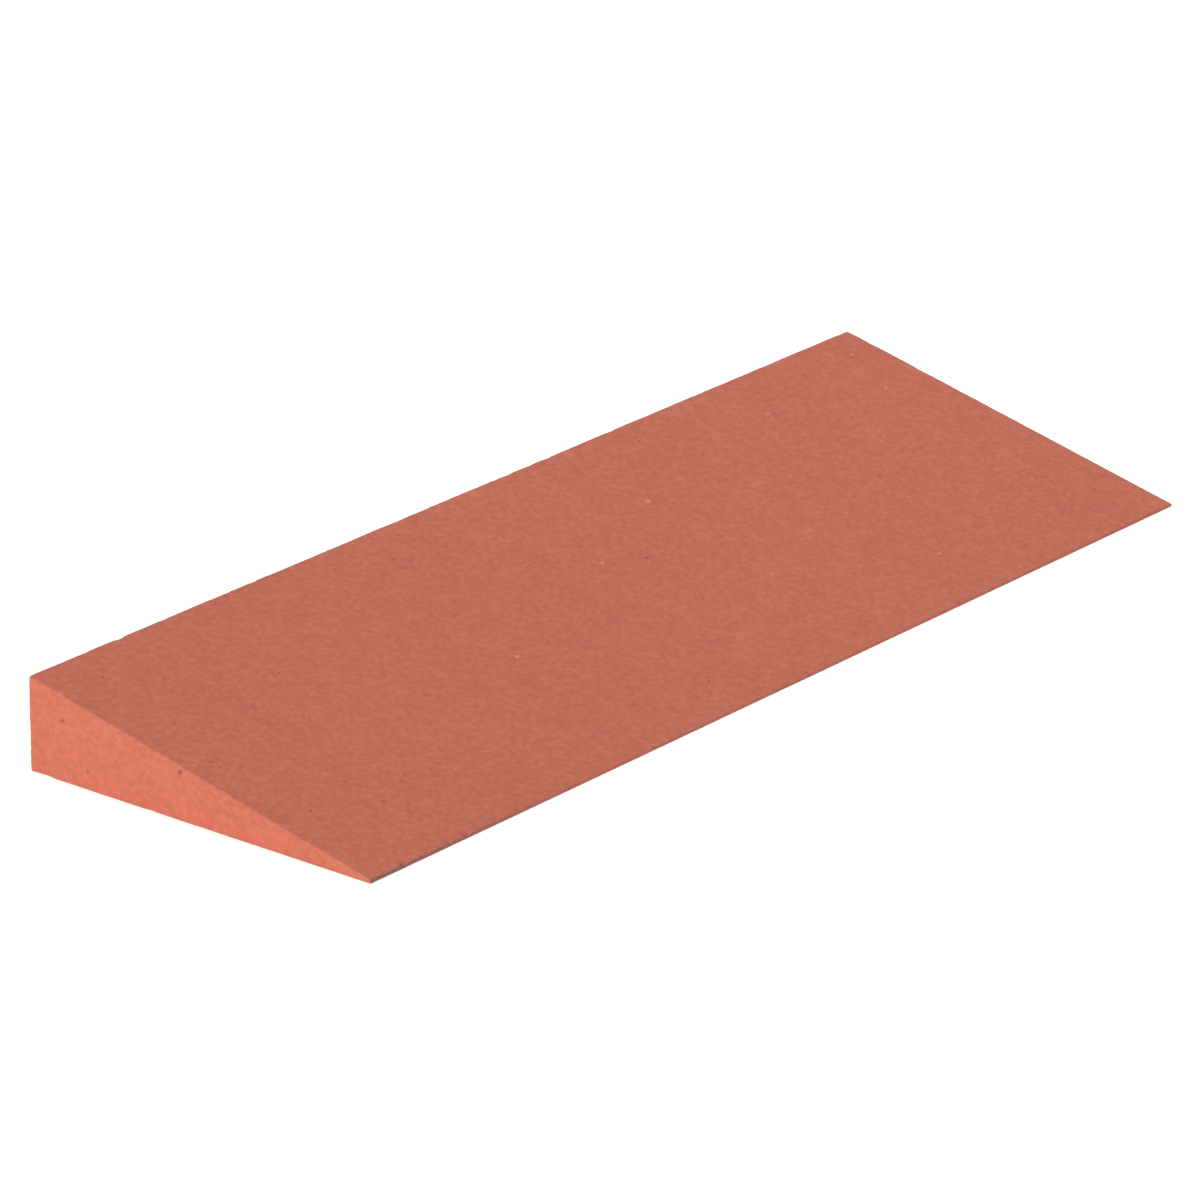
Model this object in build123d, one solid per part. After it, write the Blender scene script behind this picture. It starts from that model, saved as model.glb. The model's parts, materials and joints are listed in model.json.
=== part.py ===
from build123d import *
import os

# A slip stone: one rigid wedge of bonded abrasive. It lies on its flat base. The sloping face on top
# runs from the thick spine down to a thin edge, which is almost sharp.
#
# The part's frame: the origin is at the middle of the base's box, +X runs along the length, +Y points
# from the thin edge to the spine, and +Z is up.

# Driving dimensions, in millimetres.
LENGTH = 120.0        # along X, between the two end faces
WIDTH = 40.0          # along Y, from the thin edge to the spine
SPINE_HEIGHT = 9.2    # along Z, at the top of the slope
EDGE_LAND = 0.4       # height of the narrow flat left standing along the thin edge
SPINE_BREAK = 0.12    # bevel along the spine's two long arrises, where a hand holds the stone
FINE_BREAK = 0.08     # bevel on every other arris, small enough to fit on the thin edge's land


def wedge_section():
    """The section across the length, with the spine's two bevels, as a face in the YZ plane."""
    thin_y = -WIDTH / 2
    spine_y = WIDTH / 2
    bevel_y = spine_y - SPINE_BREAK
    corners = [
        (thin_y, 0),
        (bevel_y, 0),
        (spine_y, SPINE_BREAK),
        (spine_y, SPINE_HEIGHT - SPINE_BREAK),
        (bevel_y, SPINE_HEIGHT),
        (thin_y, EDGE_LAND),
    ]
    return make_face(Plane.YZ * Polyline(*corners, close=True))


def abrasive_wedge():
    """The stone: the section run along X and centred, with the fine bevels on its other arrises."""
    bar = extrude(wedge_section(), amount=LENGTH / 2, both=True)
    ends = bar.faces().filter_by(Axis.X)
    thin_edge = bar.edges().filter_by(Axis.X).group_by(Axis.Y)[0]
    return chamfer(ends.edges() + thin_edge, FINE_BREAK)


os.makedirs("parts", exist_ok=True)

stone = abrasive_wedge()
export_step(stone, "parts/abrasive_wedge.step")
print("abrasive_wedge", stone.bounding_box().size, round(stone.volume, 1), "mm3")
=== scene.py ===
import json
import math

import bpy
import numpy as np
from mathutils import Matrix, Vector, geometry, kdtree, noise


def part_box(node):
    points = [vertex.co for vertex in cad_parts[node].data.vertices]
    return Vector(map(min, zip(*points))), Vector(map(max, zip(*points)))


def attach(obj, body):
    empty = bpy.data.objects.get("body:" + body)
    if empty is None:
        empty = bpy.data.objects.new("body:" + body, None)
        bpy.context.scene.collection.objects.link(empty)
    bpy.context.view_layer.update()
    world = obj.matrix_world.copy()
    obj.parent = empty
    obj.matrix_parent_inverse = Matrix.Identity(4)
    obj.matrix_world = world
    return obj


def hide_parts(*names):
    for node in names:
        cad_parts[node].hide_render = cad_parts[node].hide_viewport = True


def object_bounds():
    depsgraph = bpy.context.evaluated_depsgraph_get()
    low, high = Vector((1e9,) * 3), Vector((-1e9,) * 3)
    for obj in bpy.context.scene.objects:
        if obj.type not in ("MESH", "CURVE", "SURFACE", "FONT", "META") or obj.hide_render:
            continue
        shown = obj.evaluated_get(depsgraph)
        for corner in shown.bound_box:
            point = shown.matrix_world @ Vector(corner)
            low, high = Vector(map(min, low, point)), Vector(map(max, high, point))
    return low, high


# The looks of a slip stone: one rigid wedge of fine, fired, orange-red abrasive.
#
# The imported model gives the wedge's planes. This script meshes them finely near the arrises and pores
# and more openly between, then wears that mesh: it rounds the arrises and chips them, thins the thin
# edge, opens pores and lets the faces run slightly hollow. Wear only takes material away, and the few
# coarse grains that stand up from the slope keep below the spine's top, so the stone stays inside its
# CAD box. Every length is in metres: a millimetre is a number times MM.

MM = 0.001
NODE = "abrasive_wedge"

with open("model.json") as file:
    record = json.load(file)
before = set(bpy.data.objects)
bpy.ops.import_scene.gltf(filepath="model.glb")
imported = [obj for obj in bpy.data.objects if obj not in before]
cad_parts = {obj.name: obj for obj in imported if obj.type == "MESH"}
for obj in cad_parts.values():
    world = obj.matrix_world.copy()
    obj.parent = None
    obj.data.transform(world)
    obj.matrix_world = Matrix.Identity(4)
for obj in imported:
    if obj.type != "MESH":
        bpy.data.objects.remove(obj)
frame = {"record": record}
cad_low, cad_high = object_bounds()
random = np.random.default_rng(41)


# --- The wedge's planes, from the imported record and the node's box --------------------------------

def slope_line():
    """The slope's line in the section: its height at y = 0, and its rise along y."""
    slope = next(m for m in frame["record"]["mounts"] if m["name"] == "slope_face")
    _, y, z = slope["pos_m"]
    _, normal_y, normal_z = slope["axis"]
    rise = -normal_y / normal_z
    return z - rise * y, rise


NODE_LOW, NODE_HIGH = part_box(NODE)
NEAR_X, FAR_X = NODE_LOW.x, NODE_HIGH.x
THIN_Y, SPINE_Y = NODE_LOW.y, NODE_HIGH.y
BASE_Z = NODE_LOW.z
SLOPE_AT_ZERO, SLOPE_RISE = slope_line()


def slope_height(y):
    return SLOPE_AT_ZERO + SLOPE_RISE * y


def face_corners():
    """Each face's sharp corners in order, counter-clockwise as seen from outside the stone."""
    section = {
        "thin_foot": (THIN_Y, BASE_Z),
        "spine_foot": (SPINE_Y, BASE_Z),
        "spine_top": (SPINE_Y, slope_height(SPINE_Y)),
        "thin_top": (THIN_Y, slope_height(THIN_Y)),
    }
    near = {name: Vector((NEAR_X, y, z)) for name, (y, z) in section.items()}
    far = {name: Vector((FAR_X, y, z)) for name, (y, z) in section.items()}
    return {
        "base": [far["thin_foot"], near["thin_foot"], near["spine_foot"], far["spine_foot"]],
        "slope": [near["thin_top"], far["thin_top"], far["spine_top"], near["spine_top"]],
        "spine": [far["spine_foot"], near["spine_foot"], near["spine_top"], far["spine_top"]],
        "land": [near["thin_foot"], far["thin_foot"], far["thin_top"], near["thin_top"]],
        "near_end": [near["spine_foot"], near["thin_foot"], near["thin_top"], near["spine_top"]],
        "far_end": [far["thin_foot"], far["spine_foot"], far["spine_top"], far["thin_top"]],
    }


# --- Camera, light and floor ----------------------------------------------------------------------

CAMERA_AZIMUTH = math.radians(-51.04)
CAMERA_ELEVATION = math.radians(21.34)
CAMERA_ROLL = math.radians(0.20)
CAMERA_DISTANCE = 0.7306
CAMERA_LENS = 234.65                             # on a sensor 36 wide, both in millimetres
AIM_FROM_CENTRE = Vector((-0.66, 2.61, -1.75)) * MM


def make_camera():
    """A long lens, looking down along the stone from the corner of its near end and thin edge."""
    back = Vector((
        math.sin(CAMERA_AZIMUTH) * math.cos(CAMERA_ELEVATION),
        -math.cos(CAMERA_AZIMUTH) * math.cos(CAMERA_ELEVATION),
        math.sin(CAMERA_ELEVATION),
    ))
    upright = (-back).to_track_quat("-Z", "Y").to_matrix()
    turn = upright @ Matrix.Rotation(CAMERA_ROLL, 3, "Z")
    aim = (cad_low + cad_high) / 2 + AIM_FROM_CENTRE
    data = bpy.data.cameras.new("camera")
    data.sensor_width = 36
    data.lens = CAMERA_LENS
    data.clip_start = 0.01
    data.clip_end = 20
    camera = bpy.data.objects.new("camera", data)
    camera.matrix_world = Matrix.Translation(aim + back * CAMERA_DISTANCE) @ turn.to_4x4()
    bpy.context.scene.collection.objects.link(camera)
    bpy.context.scene.camera = camera


OVERHEAD_RADIANCE = 0.84
WALL_RADIANCE = 1.0                              # white behind the table's far edge
WALL_TOP = 0.15                                  # the room is all wall up to this sine of the height angle
OVERHEAD_FROM = 0.50                             # and all overhead from this one up
FLOOR_REACH = 2.5
FLOOR_COLOUR = (0.92, 0.92, 0.92, 1)
FLOOR_GLOW = 0.33                                # the floor is a light table, faintly lit from below


def make_lamp(name, direction, distance, width, height, watts):
    """A soft rectangular lamp that points at the stone."""
    towards = Vector(direction).normalized()
    lamp = bpy.data.lights.new(name, "AREA")
    lamp.shape = "RECTANGLE"
    lamp.size = width
    lamp.size_y = height
    lamp.energy = watts
    holder = bpy.data.objects.new(name, lamp)
    holder.location = towards * distance
    holder.rotation_euler = (-towards).to_track_quat("-Z", "Y").to_euler()
    bpy.context.scene.collection.objects.link(holder)


def make_light():
    """A white room, a large key lamp low beyond the near end, and a softer fill beyond the far end."""
    world = bpy.data.worlds.new("room")
    world.use_nodes = True
    n = Nodes(world)
    room = world.node_tree.nodes["Background"]
    room.inputs["Color"].default_value = (1, 1, 1, 1)
    split = n.add("ShaderNodeSeparateXYZ")
    n.feed(split.inputs[0], n.add("ShaderNodeTexCoord").outputs["Generated"])
    strength = n.span(split.outputs["Z"], WALL_TOP, OVERHEAD_FROM, WALL_RADIANCE, OVERHEAD_RADIANCE)
    n.feed(room.inputs["Strength"], strength)
    bpy.context.scene.world = world
    make_lamp("key", (-1.0, 0.12, 0.30), distance=2.4, width=1.2, height=0.9, watts=31.0)
    make_lamp("fill", (0.72, 0.38, 0.58), distance=0.55, width=0.4, height=0.35, watts=0.79)
    bpy.context.scene.view_settings.view_transform = "Standard"


def make_floor():
    """A plain, pale, matt table at the level of the stone's base."""
    reach = FLOOR_REACH
    corners = [(-reach, -reach), (reach, -reach), (reach, reach), (-reach, reach)]
    mesh = bpy.data.meshes.new("floor")
    mesh.from_pydata([(x, y, BASE_Z) for x, y in corners], [], [(0, 1, 2, 3)])
    floor = bpy.data.objects.new("floor", mesh)
    bpy.context.scene.collection.objects.link(floor)
    paint = bpy.data.materials.new("floor")
    paint.use_nodes = True
    shader = paint.node_tree.nodes["Principled BSDF"]
    shader.inputs["Base Color"].default_value = FLOOR_COLOUR
    shader.inputs["Roughness"].default_value = 1.0
    shader.inputs["Specular IOR Level"].default_value = 0.0
    shader.inputs["Emission Color"].default_value = (1, 1, 1, 1)
    shader.inputs["Emission Strength"].default_value = FLOOR_GLOW
    mesh.materials.append(paint)


# --- Meshing the sharp wedge ----------------------------------------------------------------------

ARRIS_SPACING = 0.085 * MM      # between points along an arris
SPACING_GROWTH = 0.42           # how much wider the spacing is for each metre away from the arris
OPEN_SPACING = 1.5 * MM         # the widest spacing, in the middle of a face
ROW_STEP = 0.87                 # from one row to the next, as a share of the spacing
CROWDED = 0.45                  # a point nearer to another than this share of the spacing is dropped
SAME_POINT = 1e-9

# The points of a pore or a raised grain lie on rings: each ring's share of its radius, and its number
# of points.
SPOT_RINGS = ((0.0, 1), (0.3, 7), (0.58, 11), (0.82, 15), (1.04, 18), (1.35, 20))


class FacePlane:
    """A face's plane with two axes of its own, in which the face is meshed."""

    def __init__(self, corners):
        self.origin = corners[0]
        self.across = (corners[1] - corners[0]).normalized()
        self.normal = (corners[1] - corners[0]).cross(corners[2] - corners[0]).normalized()
        self.up = self.normal.cross(self.across)
        self.outline = [self.flat(point) for point in corners]

    def flat(self, point):
        offset = point - self.origin
        return Vector((offset.dot(self.across), offset.dot(self.up)))

    def solid(self, point):
        return self.origin + self.across * point.x + self.up * point.y


def arris_points(start, end):
    """Evenly spaced points from one corner up to, but without, the next. Both faces get the same ones."""
    low, high = sorted((start, end), key=tuple)
    steps = max(3, round((high - low).length / ARRIS_SPACING))
    points = [low.lerp(high, i / steps) for i in range(steps + 1)]
    if start != low:
        points.reverse()
    return points[:-1]


def inset(outline, depth):
    """A convex outline moved inwards by that depth, or None when nothing is left of it."""
    ring = outline
    for a, b in zip(outline, outline[1:] + outline[:1]):
        along = (b - a).normalized()
        inward = Vector((-along.y, along.x))
        heights = [(p - a).dot(inward) - depth for p in ring]
        kept = []
        for i, p in enumerate(ring):
            here, after = heights[i], heights[(i + 1) % len(ring)]
            if here >= 0:
                kept.append(p)
            if (here >= 0) != (after >= 0):
                kept.append(p.lerp(ring[(i + 1) % len(ring)], here / (here - after)))
        if len(kept) < 3:
            return None
        ring = kept
    return ring


def row_points(outline):
    """Rows of points parallel to a face's outline, each point with the spacing of its row."""
    depth = 0.0
    spacing = ARRIS_SPACING
    while True:
        depth += ROW_STEP * spacing
        spacing = min(ARRIS_SPACING + SPACING_GROWTH * depth, OPEN_SPACING)
        ring = inset(outline, depth)
        if ring is None:
            return
        for a, b in zip(ring, ring[1:] + ring[:1]):
            steps = max(1, round((b - a).length / spacing))
            for i in range(steps):
                yield a.lerp(b, i / steps), spacing


def spot_points(centre, radius):
    """The rings of points that carry the shape of one pore or raised grain."""
    for share, count in SPOT_RINGS:
        turn = random.uniform(0, math.tau)
        for i in range(count):
            angle = turn + math.tau * i / count
            yield centre + Vector((math.cos(angle), math.sin(angle))) * radius * share


def clear_of_spots(point, spacing, spots):
    reach = SPOT_RINGS[-1][0]
    return all((point - centre).length > reach * radius + spacing / 2 for centre, radius in spots)


def uncrowded(points, spacings, fixed):
    """The points less each one, after the fixed first ones, that crowds an earlier point."""
    tree = kdtree.KDTree(len(points))
    for i, point in enumerate(points):
        tree.insert(point.to_3d(), i)
    tree.balance()
    dropped = set()
    for i, point in enumerate(points):
        if i not in dropped:
            close = tree.find_range(point.to_3d(), CROWDED * spacings[i])
            dropped.update(j for _, j, _ in close if j > i and j >= fixed)
    return [point for i, point in enumerate(points) if i not in dropped]


def face_mesh(corners, spots):
    """One face's points in space and its triangles. spots are (centre in space, radius)."""
    plane = FacePlane(corners)
    rim = [p for a, b in zip(corners, corners[1:] + corners[:1]) for p in arris_points(a, b)]
    flat_spots = [(plane.flat(centre), radius) for centre, radius in spots]
    inner = [(p, 0.0) for spot in flat_spots for p in spot_points(*spot)]
    inner += [(p, s) for p, s in row_points(plane.outline) if clear_of_spots(p, s, flat_spots)]
    points = [plane.flat(p) for p in rim] + [p for p, _ in inner]
    spacings = [ARRIS_SPACING] * len(rim) + [s for _, s in inner]
    points = uncrowded(points, spacings, len(rim))
    loop = list(range(len(rim)))
    _, _, triangles, sources, _, _ = geometry.delaunay_2d_cdt(points, [], [loop], 1, SAME_POINT)
    in_space = rim + [plane.solid(p) for p in points[len(rim):]]
    return in_space, [[sources[v][0] for v in triangle] for triangle in triangles]


def sharp_wedge(spots):
    """The whole wedge before wear, as an array of points and a list of triangles."""
    index = {}
    triangles = []
    for name, corners in face_corners().items():
        points, faces = face_mesh(corners, spots[name])
        shared = [index.setdefault(tuple(p), len(index)) for p in points]
        triangles += [[shared[v] for v in face] for face in faces]
    return np.array(list(index)), triangles


# --- Wear -----------------------------------------------------------------------------------------

END_RADIUS = 0.085 * MM         # rounding of the arrises round both ends
SPINE_RADIUS = 0.15 * MM        # of the spine's long arrises, which a hand rubs
THIN_RADIUS = 0.07 * MM         # of the thin edge, where only a narrow land is left
THIN_RADIUS_MOST = 0.12 * MM    # more would use up the land
RADIUS_MOST = 0.45 * MM         # anywhere else, in the deepest chip
NOTCH_FROM_SPINE = 3.7 * MM     # where the near end's top arris has its one clear notch
END_CHIPS = 16                  # smaller chips round each end
SPINE_CHIPS = 24                # and along the spine
CHIP_FRINGE = 0.4 * MM          # how far past its half length a chip fades out

# Where an end's rounding turns into the spine's, or into the thin edge's: from and to these distances
# from that edge.
SPINE_BLEND_FROM = 3.0 * MM
SPINE_BLEND_TO = 0.6 * MM
THIN_BLEND_FROM = 4.0 * MM
THIN_BLEND_TO = 1.0 * MM

# How the rounding varies along an arris, slowly and from grain to grain: by what share, at what size.
SLOW_SHARE = 0.35
SLOW_SIZE = 2.5 * MM
FINE_SHARE = 0.20
FINE_SIZE = 0.4 * MM

# With this radius or more, the top of the spine's rounded arris keeps under the CAD box.
SPINE_RADIUS_LEAST = (slope_height(SPINE_Y) - NODE_HIGH.z) / (SLOPE_RISE + math.hypot(1, SLOPE_RISE) - 1)


def noise_at(points, size):
    """Smooth noise from -1 to 1 whose blobs are about that size."""
    return np.array([noise.noise(Vector(p)) for p in points / size])


def ramp(value, start, end):
    """0 up to start and 1 from end on, and a smooth step between."""
    t = np.clip((value - start) / (end - start), 0, 1)
    return t * t * (3 - 2 * t)


def arris_chips():
    """Chips out of the arrises: (place, half length, extra radius), all over the two ends and the spine."""
    notch_y = SPINE_Y - NOTCH_FROM_SPINE
    chips = [(Vector((NEAR_X, notch_y, slope_height(notch_y))), 0.30 * MM, 0.26 * MM)]
    for x, deepest in ((NEAR_X, 0.16), (FAR_X, 0.08)):
        for _ in range(END_CHIPS):
            y = random.uniform(THIN_Y + 3 * MM, SPINE_Y)
            z = slope_height(y) if random.random() < 0.6 else BASE_Z
            half_length, extra = random.uniform(0.15, 0.9) * MM, random.uniform(0.03, deepest) * MM
            chips.append((Vector((x, y, z)), half_length, extra))
    for _ in range(SPINE_CHIPS):
        x = random.uniform(NEAR_X, FAR_X)
        z = slope_height(SPINE_Y) if random.random() < 0.5 else BASE_Z
        half_length, extra = random.uniform(0.1, 0.4) * MM, random.uniform(0.02, 0.08) * MM
        chips.append((Vector((x, SPINE_Y, z)), half_length, extra))
    return chips


def arris_radius(points):
    """How far each point's nearest arris is rounded."""
    y = points[:, 1]
    to_spine = ramp(y, SPINE_Y - SPINE_BLEND_FROM, SPINE_Y - SPINE_BLEND_TO)
    to_thin = ramp(-y, -THIN_Y - THIN_BLEND_FROM, -THIN_Y - THIN_BLEND_TO)
    radius = END_RADIUS + (SPINE_RADIUS - END_RADIUS) * to_spine + (THIN_RADIUS - END_RADIUS) * to_thin
    radius *= 1 + SLOW_SHARE * noise_at(points, SLOW_SIZE) + FINE_SHARE * noise_at(points, FINE_SIZE)
    for place, half_length, extra in arris_chips():
        distance = np.linalg.norm(points - np.array(place), axis=1)
        nearness = 1 - (distance / (half_length + CHIP_FRINGE)) ** 2
        radius += extra * np.sqrt(np.clip(nearness, 0, 1))
    radius = np.maximum(radius, SPINE_RADIUS_LEAST * to_spine)
    return np.minimum(radius, RADIUS_MOST + (THIN_RADIUS_MOST - RADIUS_MOST) * to_thin)


def nearest_on_segment(y, z, start, end):
    """The nearest points to (y, z) on a segment, and how far off they are."""
    along_y, along_z = end[0] - start[0], end[1] - start[1]
    t = ((y - start[0]) * along_y + (z - start[1]) * along_z) / (along_y ** 2 + along_z ** 2)
    t = np.clip(t, 0, 1)
    foot_y, foot_z = start[0] + t * along_y, start[1] + t * along_z
    return foot_y, foot_z, np.hypot(y - foot_y, z - foot_z)


def nearest_in_core(points, radius):
    """The nearest point to each in the core, which is the wedge with that radius taken off each face."""
    y, z = points[:, 1], points[:, 2]
    thin, spine, foot = THIN_Y + radius, SPINE_Y - radius, BASE_Z + radius
    drop = radius * math.hypot(1, SLOPE_RISE)
    corners = [
        (thin, foot),
        (spine, foot),
        (spine, slope_height(spine) - drop),
        (thin, slope_height(thin) - drop),
    ]
    inside = (y >= thin) & (y <= spine) & (z >= foot) & (z <= slope_height(y) - drop)
    best_y, best_z, best = y.copy(), z.copy(), np.where(inside, -1.0, np.inf)
    for start, end in zip(corners, corners[1:] + corners[:1]):
        foot_y, foot_z, distance = nearest_on_segment(y, z, start, end)
        closer = distance < best
        best_y, best_z = np.where(closer, foot_y, best_y), np.where(closer, foot_z, best_z)
        best = np.minimum(best, distance)
    return np.stack([np.clip(points[:, 0], NEAR_X + radius, FAR_X - radius), best_y, best_z], axis=1)


def rounded(points):
    """The points moved onto the rounded arrises, and each one's outward direction."""
    radius = arris_radius(points)[:, None]
    core = nearest_in_core(points, radius[:, 0])
    outward = points - core
    outward /= np.linalg.norm(outward, axis=1, keepdims=True)
    return core + outward * radius, outward


EDGE_KEPT = 0.65                # share of the land's height that is left where the thin edge is sharp
BLUNT_STRETCH = 34 * MM         # how far from the near end the edge goes from blunt to sharp
BLUNT_FADE = 1.3                # above 1, the edge loses most of its bluntness early in that stretch
LAND_HEIGHT = slope_height(THIN_Y) - BASE_Z
EDGE_CHIPS = 34
LARGE_EDGE_CHIPS = 3            # larger ones, which lie only next to the near end,
LARGE_CHIP_STRETCH = 14 * MM    # at most this far from it
EDGE_SHADE_DEEP = 0.1 * MM          # how far in from the thin edge the painted shade on its land reaches
CHIP_SHADE = 0.8                 # the most painted shade in a chip, as a share of the land's
SHADE_WHERE_SHARP = 0.35         # the painted shade's share there, where the edge is sharp


def bluntness(points):
    """1 where the thin edge is blunt, near the near end, and 0 where it is sharp."""
    return np.clip(1 - (points[:, 0] - NEAR_X) / BLUNT_STRETCH, 0, 1) ** BLUNT_FADE


def thin_edge_chips():
    """Chips along the thin edge's top arris: (x, half length, share of the height, width across)."""
    chips = []
    for _ in range(LARGE_EDGE_CHIPS):
        x = NEAR_X + random.uniform(0.2, 1) * LARGE_CHIP_STRETCH
        half_length, width = random.uniform(0.45, 0.55) * MM, random.uniform(0.5, 0.9) * MM
        chips.append((x, half_length, random.uniform(0.4, 0.75), width))
    for _ in range(EDGE_CHIPS):
        x = random.uniform(NEAR_X, FAR_X)
        half_length, width = random.uniform(0.15, 0.6) * MM, random.uniform(0.25, 0.7) * MM
        chips.append((x, half_length, random.uniform(0.12, 0.45), width))
    return chips


def thin_edge_worn(points):
    """The slope ground down to a sharper edge past the blunt stretch, with the edge's chips, and a mask of
    painted shade on its land and in its chips.
    """
    x, inward = points[:, 0], points[:, 1] - THIN_Y
    blunt = bluntness(points)
    ground = (1 - EDGE_KEPT) * LAND_HEIGHT * (1 - blunt) * (1 - inward / (SPINE_Y - THIN_Y))
    kept = np.ones(len(points))
    for place, half_length, share, width in thin_edge_chips():
        across = np.clip(1 - (inward / width) ** 2, 0, 1)
        lengthwise = np.clip(1 - ((x - place) / half_length) ** 2, 0, 1)
        kept *= 1 - share * across * np.sqrt(lengthwise)
    # Painted shade: the land, which faces away from the key lamp, and the hollows of the chips are darkened
    # in colour, most where the edge is blunt.
    on_land = 1 - ramp(inward, 0.2 * EDGE_SHADE_DEEP, EDGE_SHADE_DEEP)
    painted_edge_shade = np.maximum(on_land, CHIP_SHADE * ramp(1 - kept, 0.05, 0.60))
    painted_edge_shade *= SHADE_WHERE_SHARP + (1 - SHADE_WHERE_SHARP) * blunt
    kept *= 1 - ground / (slope_height(points[:, 1]) - BASE_Z)
    worn = points.copy()
    worn[:, 2] = BASE_Z + (points[:, 2] - BASE_Z) * kept
    return worn, painted_edge_shade


PORE_DEPTH = 0.42               # a pore's depth as a share of its radius
GRAIN_HEIGHT = 0.60             # how far a coarse grain stands up, as a share of its radius
RAGGED_SHARE = 0.35             # how uneven the outline of a pore or a grain is,
RAGGED_SIZE = 0.16 * MM         # and at what size
HOLLOW_DEPTH = 0.022 * MM       # how far the faces wander in,
HOLLOW_SIZE = 13 * MM           # and the size of each hollow
RIPPLE_DEPTH = 0.004 * MM       # the same for a finer ripple
RIPPLE_SIZE = 1.1 * MM
PLUCKED_DEPTH = 0.035 * MM      # how deep single grains are lost from an arris,
PLUCKED_SIZE = 0.22 * MM        # and their size
FULL_WEAR = 0.07 * MM           # an arris that is rounded away by this much looks fully worn

COARSE_GRAINS = 7               # pale grains that stand out on the slope
PORE_COUNTS = {"base": 45, "slope": 54, "spine": 12, "land": 0, "near_end": 5, "far_end": 5}
SPOT_MARGIN = 0.9 * MM          # how far a random grain or pore keeps from the arrises,
SPOTS_APART = 1.2 * MM          # and from the next

# The one large pore on the near end, just under the slope.
END_PORE_FROM_THIN = 22 * MM
END_PORE_BELOW_SLOPE = 0.6 * MM
END_PORE_RADIUS = 0.34 * MM


def within(point, outline):
    """Whether a point lies inside a convex outline that runs counter-clockwise."""
    return all((b - a).cross(point - a) > 0 for a, b in zip(outline, outline[1:] + outline[:1]))


def grain_radius():
    return random.uniform(0.27, 0.36) * MM


def pore_radius():
    """Mostly small, and now and then more than twice as large."""
    return (0.10 + 0.18 * random.random() ** 3) * MM


def scattered(name, count, taken, pick_radius):
    """Spots at random on a face, as (centre, radius), off its arrises and off the spots already taken."""
    plane = FacePlane(face_corners()[name])
    room = inset(plane.outline, SPOT_MARGIN)
    spots = []
    while len(spots) < count:
        x = random.uniform(min(p.x for p in room), max(p.x for p in room))
        y = random.uniform(min(p.y for p in room), max(p.y for p in room))
        centre = plane.solid(Vector((x, y)))
        apart = all((centre - other).length > SPOTS_APART for other, _ in taken + spots)
        if apart and within(Vector((x, y)), room):
            spots.append((centre, pick_radius()))
    return spots


def open_pores(grains):
    """Each face's open pores, as (centre, radius): random ones, and the near end's large one."""
    end_y = THIN_Y + END_PORE_FROM_THIN
    end_pore = (Vector((NEAR_X, end_y, slope_height(end_y) - END_PORE_BELOW_SLOPE)), END_PORE_RADIUS)
    pores = {}
    for name, count in PORE_COUNTS.items():
        large = [end_pore] if name == "near_end" else []
        pores[name] = large + scattered(name, count, large + grains, pore_radius)
    return pores


def spot_shapes(points, spots, sharpness):
    """Each point's share of the depth or height of the spot it is in, and that spot's radius."""
    share, size = np.zeros(len(points)), np.zeros(len(points))
    ragged = 1 + RAGGED_SHARE * noise_at(points, RAGGED_SIZE)
    for centre, radius in spots:
        off = np.linalg.norm(points - np.array(centre), axis=1) / (radius * ragged)
        here = np.clip(1 - off ** 2, 0, 1) ** sharpness
        size = np.where(here > share, radius, size)
        share = np.maximum(share, here)
    return share, size


def largest(spots):
    """The largest radius among the spots."""
    return max(radius for _, radius in spots)


def worn_stone():
    """The finished mesh, with attributes for the finish: worn arrises, which also carry a painted
    highlight, pores with painted shade, coarse grains, and painted shade on the thin edge's land and chips.
    """
    grains = scattered("slope", COARSE_GRAINS, [], grain_radius)
    pores = open_pores(grains)
    spots = {name: found + (grains if name == "slope" else []) for name, found in pores.items()}
    sharp, triangles = sharp_wedge(spots)
    points, outward = rounded(sharp)
    wear = np.clip(np.linalg.norm(points - sharp, axis=1) / FULL_WEAR, 0, 1)
    all_pores = [pore for found in pores.values() for pore in found]
    pored, pore_size = spot_shapes(sharp, all_pores, 2.0)
    raised, grain_size = spot_shapes(sharp, grains, 0.8)
    # Painted shade: each pore is darkened in colour, the larger pores more, as the shade in its hollow.
    pore_shade = pored * (pore_size / largest(all_pores))
    paleness = raised * (grain_size / largest(grains)) ** 2
    depth = PORE_DEPTH * pored * pore_size - GRAIN_HEIGHT * raised * grain_size
    depth += HOLLOW_DEPTH * (0.5 + 0.5 * noise_at(sharp, HOLLOW_SIZE))
    depth += RIPPLE_DEPTH * (0.5 + 0.5 * noise_at(sharp, RIPPLE_SIZE))
    plucked = np.clip(noise_at(sharp, PLUCKED_SIZE) + 0.1, 0, 1)
    to_thin = ramp(-sharp[:, 1], -THIN_Y - 1.5 * MM, -THIN_Y - 0.3 * MM)
    depth += PLUCKED_DEPTH * plucked * wear * (1 - 0.6 * to_thin)
    points, painted_edge_shade = thin_edge_worn(points - outward * depth[:, None])
    points[:, 2] = np.maximum(points[:, 2], BASE_Z)

    mesh = bpy.data.meshes.new("stone")
    mesh.from_pydata(points.tolist(), [], triangles)
    mesh.shade_smooth()
    # The last mask is painted shade on the thin edge's land and in its chips.
    # The pore mask is painted shade in the pores.
    # The wear mask also drives a painted highlight along the arrises.
    for name, values in (("wear", wear), ("pore", pore_shade), ("grain", paleness), ("edge_shade", painted_edge_shade)):
        attribute = mesh.attributes.new(name, "FLOAT", "POINT")
        attribute.data.foreach_set("value", values.astype(np.float32))
    stone = bpy.data.objects.new("worn_stone", mesh)
    bpy.context.scene.collection.objects.link(stone)
    return stone


# --- The fired abrasive's finish ------------------------------------------------------------------

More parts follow.
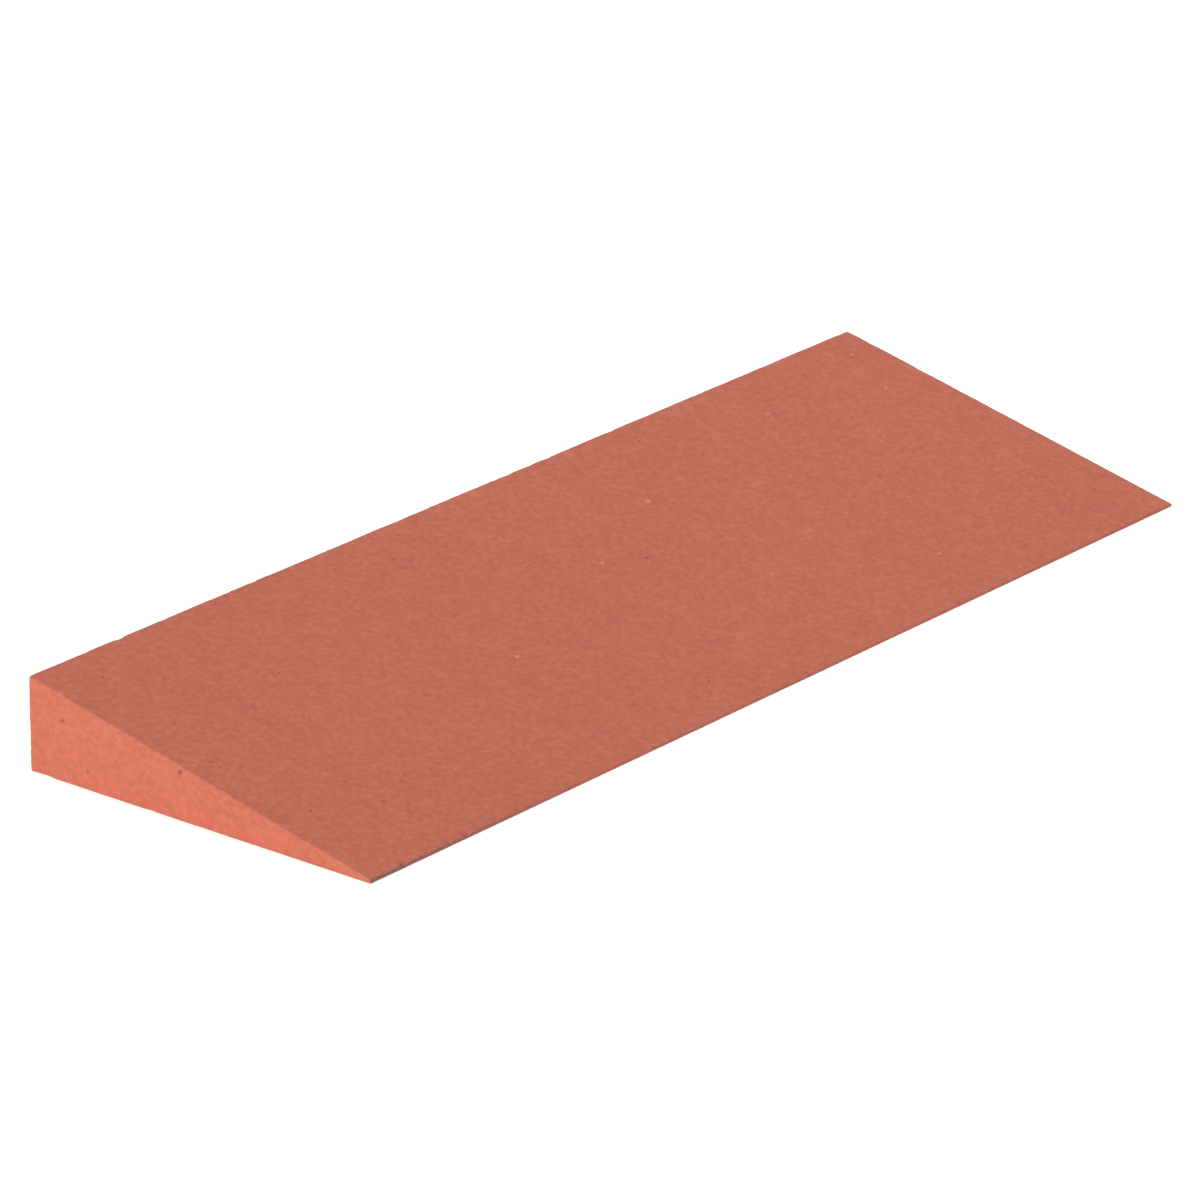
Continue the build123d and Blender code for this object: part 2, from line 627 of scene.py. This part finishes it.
BODY_DARK = (0.379, 0.084, 0.046)
BODY_MID = (0.442, 0.106, 0.058)
BODY_LIGHT = (0.516, 0.132, 0.075)
PALE_GRAIN = (0.61, 0.237, 0.162)
# the grain's own dark specks, and painted shade in the pores
DARK_SPECK_AND_PORE_SHADE = (0.16, 0.045, 0.032)
# lighter arris colour: partly wear, partly a painted highlight
WORN_ARRIS_AND_HIGHLIGHT = (0.52, 0.15, 0.09)
# painted shade for the thin edge's land and chips
EDGE_SHADE_COLOUR = (0.17, 0.08, 0.06)
SPECULAR_LEVEL = 0.65
ROUGHNESS_DARK = 0.99           # where the tone is dark,
ROUGHNESS_LIGHT = 0.87          # and where it is light

GRIT_SIZE = 0.22 * MM           # single grains of grit
CLUMP_SIZE = 0.62 * MM          # clumps of them
MOTTLE_SIZE = 2.2 * MM
DRIFT_SIZE = 15 * MM            # slow changes of tone over the whole stone
RELIEF = 0.011 * MM             # the height of the grit and the clumps in the shading

# The tones that get the dark, the middle and the light body colour, with a blend between.
TONE_DARK = 0.12
TONE_MID = 0.34
TONE_LIGHT = 0.56


class Nodes:
    """Short calls that add nodes to a material or to the world."""

    def __init__(self, owner):
        self.tree = owner.node_tree

    def add(self, kind, **settings):
        node = self.tree.nodes.new(kind)
        for name, value in settings.items():
            setattr(node, name, value)
        return node

    def feed(self, socket, value):
        if isinstance(value, bpy.types.NodeSocket):
            self.tree.links.new(value, socket)
        else:
            socket.default_value = value

    def math(self, operation, first, second=0.0):
        node = self.add("ShaderNodeMath", operation=operation)
        self.feed(node.inputs[0], first)
        self.feed(node.inputs[1], second)
        return node.outputs[0]

    def span(self, value, low, high, start=0.0, end=1.0):
        """value carried from low..high to start..end, and held within them."""
        node = self.add("ShaderNodeMapRange", clamp=True)
        for socket, number in zip(node.inputs, (value, low, high, start, end)):
            self.feed(socket, number)
        return node.outputs[0]

    def mix(self, share, first, second):
        node = self.add("ShaderNodeMix", data_type="RGBA")
        self.feed(node.inputs[0], share)
        self.feed(node.inputs[6], first)
        self.feed(node.inputs[7], second)
        return node.outputs[2]

    def noise(self, place, size, detail=2.0, roughness=0.5):
        node = self.add("ShaderNodeTexNoise")
        self.feed(node.inputs["Vector"], place)
        node.inputs["Scale"].default_value = 1 / size
        node.inputs["Detail"].default_value = detail
        node.inputs["Roughness"].default_value = roughness
        return node.outputs[0]

    def grit(self, place, size):
        """Single grains of that size: a tone of its own for each, and the distance to its middle."""
        node = self.add("ShaderNodeTexVoronoi")
        self.feed(node.inputs["Vector"], place)
        node.inputs["Scale"].default_value = 1 / size
        tone = self.add("ShaderNodeSeparateColor")
        self.feed(tone.inputs[0], node.outputs["Color"])
        return tone.outputs[0], node.outputs["Distance"]

    def specks(self, place, apart, radius, share):
        """Sparse round specks: cells that far apart, of which that share hold one."""
        node = self.add("ShaderNodeTexVoronoi")
        self.feed(node.inputs["Vector"], place)
        node.inputs["Scale"].default_value = 1 / apart
        chosen = self.add("ShaderNodeSeparateColor")
        self.feed(chosen.inputs[0], node.outputs["Color"])
        picked = self.math("LESS_THAN", chosen.outputs[0], share)
        size = self.span(chosen.outputs[1], 0, 1, 0.5 * radius / apart, radius / apart)
        core = self.math("MULTIPLY", size, 0.55)
        from_core = self.math("SUBTRACT", node.outputs["Distance"], core)
        near = self.span(from_core, 0, 0.45 * radius / apart, 1, 0)
        return self.math("MULTIPLY", picked, near)

    def attribute(self, name):
        return self.add("ShaderNodeAttribute", attribute_name=name).outputs["Fac"]


def rgba(colour):
    return (*colour, 1.0)


def abrasive_finish():
    """Fine fired grain: grit, three sizes of mottling, pale and dark specks, worn arrises painted lighter
    as wear and as a painted highlight, and painted shade in the pores and on the thin edge's land and
    chips.
    """
    material = bpy.data.materials.new("bonded_abrasive")
    material.use_nodes = True
    n = Nodes(material)
    shader = material.node_tree.nodes["Principled BSDF"]
    place = n.add("ShaderNodeTexCoord").outputs["Object"]

    grit, from_middle = n.grit(place, GRIT_SIZE)
    clump = n.noise(place, CLUMP_SIZE, detail=0.0)
    mottle = n.noise(place, MOTTLE_SIZE, detail=2.0)
    drift = n.noise(place, DRIFT_SIZE, detail=2.0)
    tone = n.math("ADD", n.math("MULTIPLY", clump, 0.30), n.math("MULTIPLY", mottle, 0.18))
    tone = n.math("ADD", tone, n.math("MULTIPLY", grit, 0.10))
    tone = n.math("ADD", tone, n.math("MULTIPLY", drift, 0.10))
    colour = n.mix(n.span(tone, TONE_DARK, TONE_MID), rgba(BODY_DARK), rgba(BODY_MID))
    colour = n.mix(n.span(tone, TONE_MID, TONE_LIGHT), colour, rgba(BODY_LIGHT))

    # Worn arrises are painted lighter: partly real wear, partly a painted highlight along the arrises.
    worn = n.math("MULTIPLY", n.attribute("wear"), n.span(clump, 0.3, 0.7, 0.25, 0.75))
    colour = n.mix(worn, colour, rgba(WORN_ARRIS_AND_HIGHLIGHT))
    pale = n.math("MULTIPLY", n.specks(place, 1.4 * MM, 0.30 * MM, 0.05), 0.35)
    pale = n.math("MAXIMUM", pale, n.attribute("grain"))
    colour = n.mix(pale, colour, rgba(PALE_GRAIN))
    # The dark specks are the grain's own tone; the pore mask laid over them is painted shade in the pores.
    dark_specks_and_pore_shade = n.math("MULTIPLY", n.specks(place, 1.1 * MM, 0.24 * MM, 0.10), 0.45)
    dark_specks_and_pore_shade = n.math("MAXIMUM", dark_specks_and_pore_shade, n.math("MULTIPLY", n.attribute("pore"), 0.85))
    colour = n.mix(dark_specks_and_pore_shade, colour, rgba(DARK_SPECK_AND_PORE_SHADE))
    # Painted shade: the thin edge's land and the hollows of its chips are darkened in colour.
    colour = n.mix(n.math("MULTIPLY", n.attribute("edge_shade"), 0.85), colour, rgba(EDGE_SHADE_COLOUR))
    n.feed(shader.inputs["Base Color"], colour)

    shader.inputs["Specular IOR Level"].default_value = SPECULAR_LEVEL
    n.feed(shader.inputs["Roughness"], n.span(tone, 0.19, 0.49, ROUGHNESS_DARK, ROUGHNESS_LIGHT))
    bump = n.add("ShaderNodeBump")
    height = n.math("SUBTRACT", clump, n.math("MULTIPLY", from_middle, 0.3))
    n.feed(bump.inputs["Height"], height)
    bump.inputs["Strength"].default_value = 1.0
    bump.inputs["Distance"].default_value = RELIEF
    n.feed(shader.inputs["Normal"], bump.outputs["Normal"])
    return material


# --- Building the scene ---------------------------------------------------------------------------

make_camera()
make_light()
make_floor()

stone = worn_stone()
stone.data.materials.append(abrasive_finish())
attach(stone, "root")
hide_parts(NODE)
